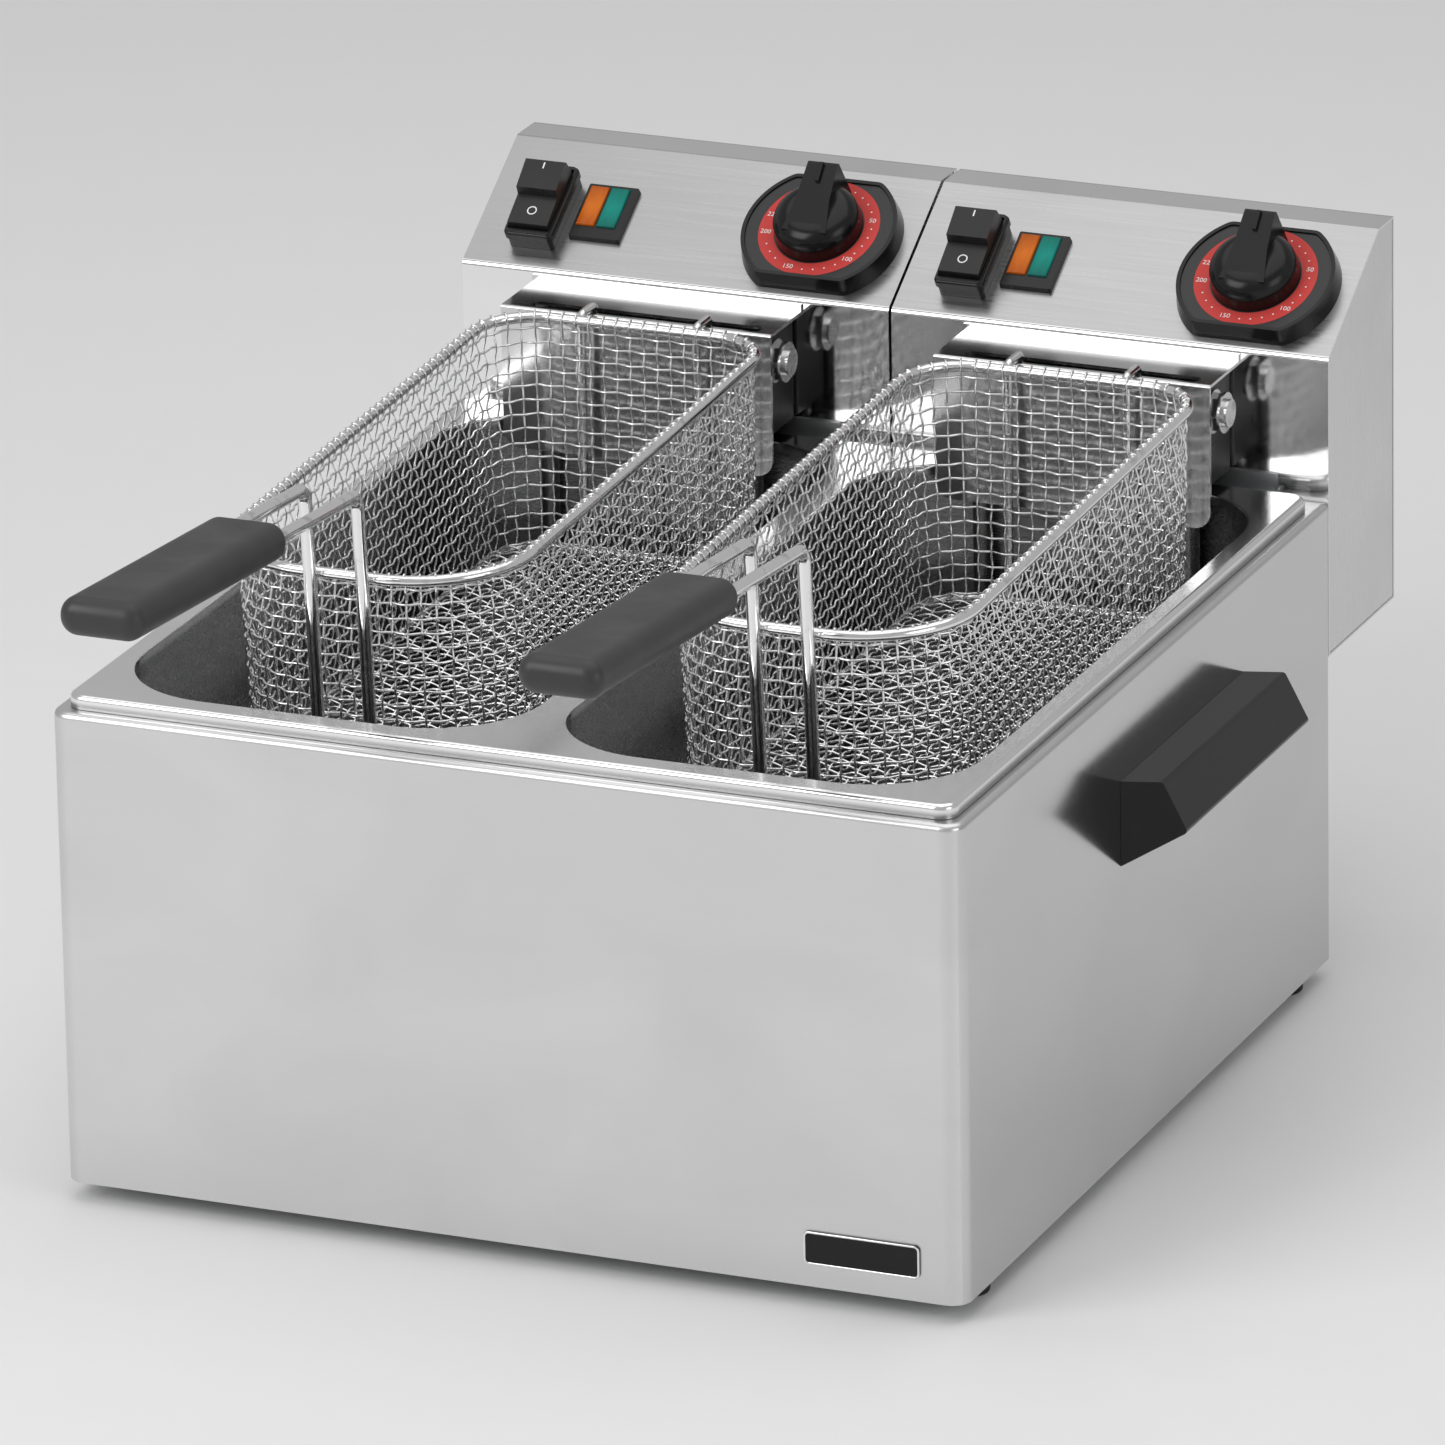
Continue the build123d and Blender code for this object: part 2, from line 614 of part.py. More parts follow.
def switch_boot():
    """The switch's stepped black surround, with its body through the panel."""
    base = extrude(RectangleRounded(SWITCH_W, SWITCH_L, 2.0), 7.0)
    band = Pos(0, 0, 6.0) * extrude(RectangleRounded(SWITCH_W + 1.6, SWITCH_L + 1.6, 2.6), 4.2)
    band = fillet(band.edges().group_by(Axis.Z)[-1], 1.2)
    top = Pos(0, 0, 9.0) * extrude(RectangleRounded(SWITCH_W, SWITCH_L, 2.0), BOOT_H - 9.0)
    body = Pos(0, 0, -10) * Box(15.6, 29.6, 20.4)
    mouth = Pos(0, 0, 0.5 + 10) * Box(ROCKER_W + 0.6, ROCKER_L + 1.4, 20)
    boot = Pos(0, 0, 0.1) * (base + band + top + body - mouth)
    boot -= rod_x(1.55, ROCKER_W + 1.6, -ROCKER_W / 2 - 0.8, 0, ROCKER_PIVOT_H)
    return on_panel(boot, SWITCH_X, SWITCH_S)


def rocker():
    """The rocker, leaning on its lower half: a raised upper pad and a lower pad a step below it."""
    half = ROCKER_L / 2
    points = [
        (-half, -1.5),
        (-half + 1.6, 11.0),
        (-0.6, 10.6),
        (0.6, 14.8),
        (half - 1.9, 15.4),
        (half, -1.5),
    ]
    face = make_face(Polyline([(0, s, h) for s, h in points], close=True))
    solid = Pos(-ROCKER_W / 2, 0, 0) * extrude(face, ROCKER_W, dir=(1, 0, 0))
    solid = fillet(solid.edges().filter_by(Axis.X).group_by(Axis.Z)[-1], 0.8)
    solid += rod_x(1.5, ROCKER_W + 1.3, -ROCKER_W / 2 - 0.65, 0, 0)
    leaning = Rot(ROCKER_REST_DEG, 0, 0) * solid
    return on_panel(Pos(0, 0, ROCKER_PIVOT_H) * leaning, SWITCH_X, SWITCH_S)


# ---------------------------------------------------------------- baskets


def tilted(shape):
    """Leans a basket piece nose-down about the back of its rim, as it hangs on the guard."""
    turn = Pos(0, BASKET_Y1, BASKET_RIM_Z) * Rot(BASKET_TILT, 0, 0)
    return turn * Pos(0, -BASKET_Y1, -BASKET_RIM_Z) * shape


def basket_outline(inset):
    """The basket's plan: wide curves in front and smaller ones at the back."""
    half = BASKET_W / 2 - inset
    y0, y1 = BASKET_Y0 + inset, BASKET_Y1 - inset
    face = make_face(Polyline((-half, y0), (half, y0), (half, y1), (-half, y1), close=True))
    face = fillet(face.vertices().sort_by(Axis.Y)[:2], BASKET_FRONT_R - inset)
    return fillet(face.vertices().sort_by(Axis.Y)[-2:], BASKET_REAR_R - inset)


def wall_inset(drop):
    """How far the sloping wall has moved inwards at a depth below the rim."""
    return drop * math.tan(math.radians(BASKET_DRAFT))


def basket_mesh():
    """The woven wire cloth as a thin closed-bottom shell with its true outer size."""
    inset = 2 * RIM_WIRE_R - BASKET_WALL - 0.1
    top = BASKET_RIM_Z - RIM_WIRE_R - 0.1
    depth = BASKET_DEPTH - RIM_WIRE_R - 0.1
    outer = Pos(0, 0, top) * extrude(basket_outline(inset), -depth, taper=BASKET_DRAFT)
    inner_top = basket_outline(inset + BASKET_WALL)
    inner = Pos(0, 0, top) * extrude(inner_top, -(depth - BASKET_WALL), taper=BASKET_DRAFT)
    return tilted(outer - inner)


def tilted_point(y, z):
    """Where a point of the basket's middle plane goes when the basket leans."""
    a = math.radians(BASKET_TILT)
    dy, dz = y - BASKET_Y1, z - BASKET_RIM_Z
    return BASKET_Y1 + dy * math.cos(a) - dz * math.sin(a), BASKET_RIM_Z + dy * math.sin(a) + dz * math.cos(a)


def closed_wire(inset, z, radius):
    """A round wire bent to the basket's plan at one height."""
    path = (Pos(0, 0, z) * basket_outline(inset)).face().outer_wire()
    return tube(path, radius)


def basket_frame():
    """The welded wire frame: rim wire, bottom ring and two hooks that drop into the guard's slot."""
    low = BASKET_RIM_Z - BASKET_DEPTH - RING_WIRE_R - 0.1
    lean = wall_inset(BASKET_DEPTH)
    frame = closed_wire(RIM_WIRE_R, BASKET_RIM_Z, RIM_WIRE_R)
    frame += closed_wire(lean + 1.2, low, RING_WIRE_R)
    frame = tilted(frame)
    top = GUARD_TOP + HOOK_WIRE_R + 0.4
    foot_y, foot_z = tilted_point(BASKET_Y1 - lean - 0.7, low)
    for x in (-HOOK_X, HOOK_X):
        points = [(x, foot_y, foot_z), (x, HOOK_Y, top), (x, HOOK_TIP_Y, top), (x, HOOK_TIP_Y, top - HOOK_DROP)]
        frame += tube(FilletPolyline(*points, radius=2.5), HOOK_WIRE_R)
    return frame


def rod_path():
    """The handle's wire: up the front wall, forwards into the grip, across and back the same way."""
    low = BASKET_RIM_Z - BASKET_DEPTH + 2
    bend_z = BASKET_RIM_Z + ROD_RISE
    up = math.radians(GRIP_UP_DEG)
    reach = GRIP_BACK + GRIP_L - 22
    end = (ROD_Y - reach * math.cos(up), bend_z + reach * math.sin(up))
    foot = (ROD_Y + wall_inset(BASKET_DEPTH - 2), low)
    rim = (ROD_Y, BASKET_RIM_Z - 4)
    half = [foot, rim, (ROD_Y - 2.0, bend_z), end]
    left = [(-ROD_X, y, z) for y, z in half]
    right = [(ROD_X, y, z) for y, z in reversed(half)]
    return FilletPolyline(*left, *right, radius=7.5)


def handle_rods():
    """The basket's handle: one wire bent like a hairpin, whose closed end is inside the grip."""
    return tilted(tube(rod_path(), ROD_R))


def grip():
    """The basket's black flattened-oval grip, moulded round the handle's wire."""
    bar = extrude(Plane.XZ * RectangleRounded(GRIP_W, GRIP_T, GRIP_T / 2 - 0.4), GRIP_L)
    bar = fillet(bar.edges().group_by(Axis.Y)[0], 7.0)
    bar = fillet(bar.edges().group_by(Axis.Y)[-1], 5.0)
    bar = Rot(-GRIP_UP_DEG, 0, 0) * Pos(0, -GRIP_BACK, 0) * bar
    bar = Pos(0, ROD_Y, BASKET_RIM_Z + ROD_RISE) * bar
    return tilted(bar) - handle_rods()


# ---------------------------------------------------------------- writing the nodes

HEAD_PARTS = {
    "head_shell": head_shell,
    "head_back_cover": head_back_cover,
    "head_end_plates": end_plates,
    "head_screws": head_screws,
    "hanger": hanger,
    "guard": guard,
    "terminal_box": terminal_box,
    "terminal_gland": terminal_gland,
    "heating_element": heating_element,
    "thermostat_bulb": thermostat_bulb,
    "thermostat": thermostat,
    "limiter": limiter,
    "reset_button": reset_button,
    "cable_gland": cable_gland,
    "switch_boot": switch_boot,
    "rocker": rocker,
    "lamp_bezel": lamp_bezel,
    "lamp_amber": lambda: lamp_lens(0),
    "lamp_green": lambda: lamp_lens(1),
    "dial_bezel": dial_bezel,
    "dial_plate": dial_plate,
    "knob": knob,
}

BASKET_PARTS = {
    "basket_mesh": basket_mesh,
    "basket_frame": basket_frame,
    "handle_rods": handle_rods,
    "grip": grip,
}


def main():
    """Writes one STEP file for each node."""
    os.makedirs("parts", exist_ok=True)
    export_node(housing(), "housing")
    export_node(base_plate(), "base_plate")
    export_node(feet(), "feet")
    export_node(side_handle(-1), "handle_left")
    export_node(side_handle(1), "handle_right")
    export_node(handle_screws(), "handle_screws")
    export_node(badge(), "badge_plate")
    export_node(tank(), "tank")
    for name, make in HEAD_PARTS.items():
        shape = make()
        for side, sign in (("left", -1), ("right", 1)):
            export_node(Pos(sign * HEAD_X, 0, 0) * shape, f"{side}_{name}")
    for name, make in BASKET_PARTS.items():
        shape = make()
        for side, sign in (("left", -1), ("right", 1)):
            export_node(Pos(sign * BASKET_X, 0, 0) * shape, f"{side}_{name}")


main()
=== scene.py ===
import math

import bpy
import numpy as np
from mathutils import Matrix, Vector


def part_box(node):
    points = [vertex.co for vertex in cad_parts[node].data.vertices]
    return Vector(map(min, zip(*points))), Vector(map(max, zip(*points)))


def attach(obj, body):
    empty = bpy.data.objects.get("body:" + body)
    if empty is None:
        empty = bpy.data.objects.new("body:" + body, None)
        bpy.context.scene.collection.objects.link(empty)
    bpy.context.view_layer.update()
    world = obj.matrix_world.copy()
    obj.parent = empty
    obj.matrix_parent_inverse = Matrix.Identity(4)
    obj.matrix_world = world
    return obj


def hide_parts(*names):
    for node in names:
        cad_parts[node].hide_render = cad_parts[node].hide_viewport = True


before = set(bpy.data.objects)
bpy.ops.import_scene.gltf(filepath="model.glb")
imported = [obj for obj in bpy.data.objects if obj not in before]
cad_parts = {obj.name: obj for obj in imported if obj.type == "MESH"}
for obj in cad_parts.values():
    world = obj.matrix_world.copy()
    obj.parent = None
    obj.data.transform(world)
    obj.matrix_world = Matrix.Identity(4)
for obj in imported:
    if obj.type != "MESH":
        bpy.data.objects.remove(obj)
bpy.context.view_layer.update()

# Fryer sizes in millimetres. X is measured from the middle, Y backwards from the housing's front,
# Z from the floor.
MM = 0.001
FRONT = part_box("housing")[0].y / MM
HEAD_X = 105.0
BASKET_X = 103.0
HEAD_Y0, SLOPE_Z, SLOPE = 443.5, 291.7, math.radians(32)

BASKET_W, BASKET_Y0, BASKET_Y1 = 140.0, 70.0, 397.0
BASKET_RIM_Z, BASKET_DEPTH = 287.0, 108.0
FRONT_R, REAR_R = 52.0, 30.0
DRAFT, TILT = math.tan(math.radians(1.5)), math.radians(2)

# The woven cloth. Its wires hang CLOTH_INSET inside the basket's outline, and each upright ends in a hook
# of RIM_HUG round the rim wire.
WIRE_R, CRIMP, PITCH = 0.54, 0.78, 6.6
CLOTH_INSET = 3.9
RIM_INSET = 2.5
RIM_HUG = 3.0
RIM_WRAP_DEG = (75, 100, 125, 150, 175, 200)
WALL_ROWS = 15
FIRST_RING_DROP, LAST_RING_RISE = 4.6, 1.5
FLOOR_RISE = 1.2
FLOOR_COLUMNS, FLOOR_ROWS = 9, 23

# The dial's printed ring
DIAL_X, DIAL_S, FACE_H = 60.5, 35.5, 7.86
RING_INNER, RING_OUTER, MARKS_R = 21.0, 28.2, 24.7
INK_H, DOT_R, NUMBER_HEIGHT = 0.15, 0.42, 2.5
NUMBERS = {"50": 72, "100": 130, "150": 197, "200": 258, "220": 282}
DOTS_DEG, NUMBER_ROOM_DEG = range(24, 346, 12), 9.5

# The rockers' printed marks: each pad's height where its slope starts, and its rise over its length
SWITCH_X, SWITCH_S, PIVOT_H, REST = -74.0, 32.0, 4.5, math.radians(6)
PAD_START, PAD_INK = 0.6, 0.08
HIGH_PAD_H, HIGH_PAD_RISE, HIGH_PAD_LEN = 14.8, 0.6, 15.5
LOW_PAD_H, LOW_PAD_RISE, LOW_PAD_LEN = 10.6, 0.4, 15.8


# ---------------------------------------------------------------- materials


def new_material(name):
    """An empty node material with its output and principled shader."""
    mat = bpy.data.materials.new(name)
    mat.use_nodes = True
    tree = mat.node_tree
    tree.nodes.clear()
    out = tree.nodes.new("ShaderNodeOutputMaterial")
    shader = tree.nodes.new("ShaderNodeBsdfPrincipled")
    tree.links.new(shader.outputs[0], out.inputs[0])
    return mat, tree, shader


def noise(tree, scale, stretch=(1, 1, 1), detail=4.0, warp=0.0):
    """A noise field in metres, squeezed along chosen axes. Returns its value socket."""
    coord = tree.nodes.new("ShaderNodeTexCoord")
    mapping = tree.nodes.new("ShaderNodeMapping")
    mapping.inputs["Scale"].default_value = stretch
    field = tree.nodes.new("ShaderNodeTexNoise")
    field.inputs["Scale"].default_value = scale
    field.inputs["Detail"].default_value = detail
    field.inputs["Distortion"].default_value = warp
    tree.links.new(coord.outputs["Object"], mapping.inputs[0])
    tree.links.new(mapping.outputs[0], field.inputs[0])
    return field.outputs[0]


def remap(tree, value, low, high, start=0.3, end=0.7):
    """Stretches a field's middle range onto low to high."""
    node = tree.nodes.new("ShaderNodeMapRange")
    node.inputs["From Min"].default_value = start
    node.inputs["From Max"].default_value = end
    node.inputs["To Min"].default_value = low
    node.inputs["To Max"].default_value = high
    tree.links.new(value, node.inputs[0])
    return node.outputs[0]


def maths(tree, kind, a, b):
    """One maths node on sockets or numbers."""
    node = tree.nodes.new("ShaderNodeMath")
    node.operation = kind
    for k, v in enumerate((a, b)):
        if isinstance(v, (int, float)):
            node.inputs[k].default_value = v
        else:
            tree.links.new(v, node.inputs[k])
    return node.outputs[0]


def tint(tree, factor, a, b):
    """Mixes two colours by a field."""
    node = tree.nodes.new("ShaderNodeMix")
    node.data_type = "RGBA"
    node.inputs["A"].default_value = (*a, 1)
    node.inputs["B"].default_value = (*b, 1)
    tree.links.new(factor, node.inputs["Factor"])
    return node.outputs["Result"]


def bump(tree, shader, heights):
    """Chains height fields, each with its height in metres, into the shader's normal."""
    last = None
    for value, distance in heights:
        node = tree.nodes.new("ShaderNodeBump")
        node.inputs["Strength"].default_value = 1.0
        node.inputs["Distance"].default_value = distance
        tree.links.new(value, node.inputs["Height"])
        if last is not None:
            tree.links.new(last, node.inputs["Normal"])
        last = node.outputs[0]
    tree.links.new(last, shader.inputs["Normal"])


def facing(tree, axis, start=0.70, end=0.80):
    """1 where the surface faces an axis of the frame, either way, and 0 elsewhere."""
    geometry = tree.nodes.new("ShaderNodeNewGeometry")
    split = tree.nodes.new("ShaderNodeSeparateXYZ")
    tree.links.new(geometry.outputs["True Normal"], split.inputs[0])
    size = maths(tree, "ABSOLUTE", split.outputs["XYZ".index(axis)], 0)
    return remap(tree, size, 0, 1, start, end)


def sloping(tree):
    """1 on the heads' sloping panels, between faces that are upright and faces that are level."""
    return maths(tree, "SUBTRACT", facing(tree, "Z"), facing(tree, "Z", 0.92, 0.97))


def below(tree, height, band=0.002):
    """1 under a height in metres and 0 above it."""
    coord = tree.nodes.new("ShaderNodeTexCoord")
    split = tree.nodes.new("ShaderNodeSeparateXYZ")
    tree.links.new(coord.outputs["Object"], split.inputs[0])
    return remap(tree, split.outputs[2], 1, 0, height - band, height)


def darker(colour, share):
    """A colour with each part scaled."""
    return [c * share for c in colour]


def steel(name, colour, rough, grain=(1, 1, 1), ridge=0.0000018, wave=0.00003, second=None, where=None):
    """Stainless sheet: fine rolling lines, faint waviness, wiped smears and hairline scratches.

    second is (colour, roughness) for the surface that the field where picks out. On the head's slope and in the
    tank's well its darker colour is painted shade.
    """
    mat, tree, shader = new_material(name)
    lines = noise(tree, 900, grain, 3)
    smears = noise(tree, 9, (1, 1, 1.6), 5, 0.6)
    scratches = noise(tree, 260, tuple(0.12 + 0.88 * g for g in grain), 8, 0.4)
    waviness = noise(tree, 14, (1, 1, 1), 2)
    shader.inputs["Metallic"].default_value = 1.0
    wiped = remap(tree, smears, 0, 1)
    shade = tint(tree, wiped, darker(colour, 0.95), [min(1, c * 1.04) for c in colour])
    lined = remap(tree, lines, rough * 0.92, rough * 1.08)
    roughness = maths(tree, "ADD", lined, remap(tree, smears, -0.015, 0.02))
    if second:
        other, other_rough = second
        field = where(tree)
        mixed = tree.nodes.new("ShaderNodeMix")
        mixed.data_type = "RGBA"
        tree.links.new(field, mixed.inputs["Factor"])
        tree.links.new(shade, mixed.inputs["A"])
        tree.links.new(tint(tree, wiped, darker(other, 0.94), other), mixed.inputs["B"])
        shade = mixed.outputs["Result"]
        blend = tree.nodes.new("ShaderNodeMix")
        tree.links.new(field, blend.inputs["Factor"])
        tree.links.new(roughness, blend.inputs["A"])
        tree.links.new(remap(tree, lines, other_rough * 0.85, other_rough * 1.15), blend.inputs["B"])
        roughness = blend.outputs["Result"]
    tree.links.new(shade, shader.inputs["Base Color"])
    tree.links.new(roughness, shader.inputs["Roughness"])
    bump(tree, shader, [(waviness, wave), (lines, ridge), (scratches, ridge * 0.8)])
    return mat


def wire(name, colour, rough):
    """Drawn or chromed wire, finely mottled, with dull spots of grime."""
    mat, tree, shader = new_material(name)
    lines = noise(tree, 1400, (1, 1, 1), 3)
    spots = noise(tree, 120, (1, 1, 1), 6)
    grime = remap(tree, spots, 0, 1, 0.56, 0.74)
    shader.inputs["Metallic"].default_value = 1.0
    tree.links.new(tint(tree, grime, colour, darker(colour, 0.72)), shader.inputs["Base Color"])
    lined = remap(tree, lines, rough * 0.8, rough * 1.2)
    tree.links.new(maths(tree, "ADD", lined, maths(tree, "MULTIPLY", grime, 0.14)), shader.inputs["Roughness"])
    bump(tree, shader, [(lines, 0.000004), (spots, 0.00001)])
    return mat


def plastic(name, colour, rough, grain=2200, depth=0.000008, dust=0.0, shine=0.3):
    """Moulded plastic: fine spark-eroded grain, uneven gloss and faint scuffs or dust."""
    mat, tree, shader = new_material(name)
    pores = noise(tree, grain, (1, 1, 1), 3)
    gloss = noise(tree, 38, (1, 1, 1), 5, 0.5)
    scuffs = noise(tree, 210, (1, 0.18, 0.6), 7)
    worn = remap(tree, scuffs, 0, 1, 0.60, 0.78)
    lighter = [min(1, c * 1.3 + 0.004 + dust) for c in colour]
    tree.links.new(tint(tree, worn, colour, lighter), shader.inputs["Base Color"])
    uneven = remap(tree, gloss, rough * 0.85, rough * 1.15)
    tree.links.new(maths(tree, "ADD", uneven, maths(tree, "MULTIPLY", worn, 0.08)), shader.inputs["Roughness"])
    shader.inputs["Specular IOR Level"].default_value = shine
    bump(tree, shader, [(gloss, 0.00002), (pores, depth)])
    return mat


def lens(name, deep, bright, centre):
    """A coloured cap over a small lamp, lighter towards its middle, with moulded ribs."""
    mat, tree, shader = new_material(name)
    coord = tree.nodes.new("ShaderNodeTexCoord")
    offset = tree.nodes.new("ShaderNodeVectorMath")
    offset.operation = "DISTANCE"
    offset.inputs[1].default_value = centre
    tree.links.new(coord.outputs["Object"], offset.inputs[0])
    ribs = noise(tree, 700, (1, 0.2, 0.2), 2)
    distance = maths(tree, "ADD", offset.outputs["Value"], remap(tree, ribs, -0.0015, 0.0015))
    glow = remap(tree, distance, 1, 0, 0.0, 0.014)
    tree.links.new(tint(tree, glow, deep, bright), shader.inputs["Base Color"])
    tree.links.new(tint(tree, glow, deep, bright), shader.inputs["Emission Color"])
    shader.inputs["Emission Strength"].default_value = 0.14
    tree.links.new(remap(tree, noise(tree, 90, (1, 1, 1), 4), 0.08, 0.2), shader.inputs["Roughness"])
    shader.inputs["Specular IOR Level"].default_value = 0.16
    bump(tree, shader, [(ribs, 0.00004)])
    return mat


def paint(name, colour, rough):
    """Screen-printed ink: slightly mottled and a little rough."""
    mat, tree, shader = new_material(name)
    mottle = noise(tree, 1500, (1, 1, 1), 4)
    shade = tint(tree, remap(tree, mottle, 0, 1), darker(colour, 0.88), colour)
    tree.links.new(shade, shader.inputs["Base Color"])
    tree.links.new(remap(tree, mottle, rough * 0.85, rough * 1.2), shader.inputs["Roughness"])
    shader.inputs["Specular IOR Level"].default_value = 0.15
    bump(tree, shader, [(mottle, 0.000006)])
    return mat


X_GRAIN, Z_GRAIN = (0.02, 1, 1), (1, 1, 0.02)
HOUSING = steel("housing_steel", (0.68, 0.68, 0.68), 0.32, X_GRAIN,
                second=((0.64, 0.64, 0.64), 0.15), where=lambda t: facing(t, "X"))
# The head's sloping panels get a rougher finish and a darker colour, 0.47 against 0.76. The darker colour is
# painted shade on the slope.
HEAD = steel("head_steel", (0.76, 0.76, 0.76), 0.09, X_GRAIN, wave=0.00001,
             second=((0.47, 0.47, 0.47), 0.30), where=sloping)
COVER = steel("cover_steel", (0.68, 0.68, 0.68), 0.26, Z_GRAIN)
# Below 228.5 mm the tank gets a satin finish and a colour of 0.42 against 0.84. The darker colour is painted
# shade in the well.
TANK = steel("tank_steel", (0.84, 0.84, 0.84), 0.17, X_GRAIN,
             second=((0.42, 0.42, 0.425), 0.28), where=lambda t: below(t, 0.2285))
GUARD = steel("guard_steel", (0.62, 0.62, 0.62), 0.16, X_GRAIN, ridge=0.000001, wave=0.00002)
GALVANISED = steel("galvanised_sheet", (0.50, 0.51, 0.52), 0.36, (0.6, 1, 1), ridge=0.00001)
ELEMENT = wire("element_steel", (0.30, 0.29, 0.285), 0.30)
BULB = wire("bulb_nickel", (0.52, 0.51, 0.50), 0.24)
SCREW = wire("screw_steel", (0.66, 0.66, 0.66), 0.22)
CLOTH = wire("basket_wire", (0.90, 0.90, 0.90), 0.16)
FRAME_WIRE = wire("frame_wire", (0.84, 0.84, 0.84), 0.10)
ROD = wire("rod_chrome", (0.86, 0.86, 0.86), 0.06)
GRIP = plastic("grip_plastic", (0.032, 0.032, 0.032), 0.46, 1500, 0.00002, shine=0.5)
HANDLE = plastic("handle_plastic", (0.004, 0.004, 0.004), 0.10, 2600, 0.000003, shine=0.4)
BEZEL = plastic("bezel_plastic", (0.006, 0.006, 0.006), 0.20, 2400, 0.000005, shine=0.3)
SWITCH = plastic("switch_plastic", (0.008, 0.008, 0.008), 0.28, 2000, 0.00001, shine=0.35)
PAD = plastic("rocker_plastic", (0.012, 0.012, 0.0125), 0.32, 1800, 0.000012, shine=0.4)
KNOB = plastic("knob_plastic", (0.005, 0.005, 0.005), 0.22, 1800, 0.000006, shine=0.3)
DIAL = plastic("dial_plastic", (0.028, 0.028, 0.029), 0.32, 2400, 0.000005, shine=0.35)
RUBBER = plastic("feet_rubber", (0.012, 0.012, 0.012), 0.62, 900, 0.00004, dust=0.01)
BLACK = plastic("gland_plastic", (0.008, 0.008, 0.008), 0.30, 1700, 0.00001)
RED_CAP = plastic("reset_plastic", (0.50, 0.03, 0.02), 0.30)
PALE = plastic("ceramic_body", (0.66, 0.63, 0.57), 0.55, 1200, 0.00002)
BADGE = plastic("badge_black", (0.006, 0.006, 0.006), 0.14, 2600, 0.000003)
SILVER = steel("badge_silver", (0.84, 0.84, 0.84), 0.20, X_GRAIN)
RED_INK = paint("dial_red", (0.62, 0.065, 0.058), 0.45)
WHITE_INK = paint("dial_white", (0.88, 0.88, 0.86), 0.40)

LOOKS = {
    "housing": HOUSING, "base_plate": GALVANISED, "feet": RUBBER, "handle_left": HANDLE, "handle_right": HANDLE,
    "handle_screws": SCREW, "badge_plate": BADGE, "tank": TANK, "head_shell": HEAD, "head_back_cover": COVER,
    "head_end_plates": COVER, "head_screws": SCREW, "hanger": GALVANISED, "guard": GUARD, "terminal_box": BLACK,
    "terminal_gland": SCREW, "heating_element": ELEMENT, "thermostat_bulb": BULB, "thermostat": PALE,
    "limiter": PALE, "reset_button": RED_CAP, "cable_gland": BLACK, "switch_boot": SWITCH, "rocker": PAD,
    "lamp_bezel": SWITCH, "dial_bezel": BEZEL, "dial_plate": DIAL, "knob": KNOB, "basket_frame": FRAME_WIRE,
    "handle_rods": ROD, "grip": GRIP,
}

for node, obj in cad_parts.items():
    kind = node.removeprefix("left_").removeprefix("right_")
    if kind in LOOKS:
        obj.data.materials.clear()
        obj.data.materials.append(LOOKS[kind])

LAMPS = (("amber", (0.34, 0.060, 0.002), (0.62, 0.15, 0.006)), ("green", (0.0, 0.10, 0.080), (0.0, 0.24, 0.19)))
for side in ("left", "right"):
    for colour, deep, bright in LAMPS:
        node = f"{side}_lamp_{colour}"
        lo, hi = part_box(node)
        look = lens(node, deep, bright, (lo + hi) / 2)
        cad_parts[node].data.materials.clear()
        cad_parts[node].data.materials.append(look)


# ---------------------------------------------------------------- mesh helpers


def place(x, y, z):
    """A point in fryer millimetres as a point in the frame, in metres."""
    return np.array([x, y + FRONT, z]) * MM


def add_mesh(name, verts, faces, material, body, smooth=True):
    """Makes one mesh piece that rides a body."""
    mesh = bpy.data.meshes.new(name)
    mesh.from_pydata([tuple(v) for v in verts], [], faces)
    mesh.materials.append(material)
    mesh.polygons.foreach_set("use_smooth", [smooth] * len(mesh.polygons))
    mesh.update()
    obj = bpy.data.objects.new(name, mesh)
    bpy.context.scene.collection.objects.link(obj)
    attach(obj, body)
    return obj


def tube_rings(path, radius, sides, closed):
    """Rings of points round a path, and the faces that join them."""
    p = np.asarray(path, float)
    if closed:
        step = np.roll(p, -1, 0) - np.roll(p, 1, 0)
    else:
        step = np.gradient(p, axis=0)
    step /= np.linalg.norm(step, axis=1)[:, None]
    side = np.cross(step, (0.31, 0.47, 0.83))
    side /= np.linalg.norm(side, axis=1)[:, None]
    top = np.cross(side, step)
    angle = np.arange(sides) * 2 * math.pi / sides
    ring = side[:, None] * np.cos(angle)[None, :, None] + top[:, None] * np.sin(angle)[None, :, None]
    verts = (p[:, None] + radius * ring).reshape(-1, 3)
    faces = []
    count = len(p)
    for i in range(count if closed else count - 1):
        j = (i + 1) % count
        for k in range(sides):
            n = (k + 1) % sides
            faces.append((i * sides + k, i * sides + n, j * sides + n, j * sides + k))
    if not closed:
        faces.append(tuple(reversed(range(sides))))
        faces.append(tuple((count - 1) * sides + k for k in range(sides)))
    return verts, faces


class Strands:
    """Collects many tubes into one mesh."""

    def __init__(self):
        self.verts = []
        self.faces = []
        self.count = 0

    def add(self, path, radius, sides=6, closed=False):
        verts, faces = tube_rings(path, radius, sides, closed)
        self.verts.append(verts)
        self.faces.extend(tuple(k + self.count for k in f) for f in faces)
        self.count += len(verts)


# ---------------------------------------------------------------- woven baskets


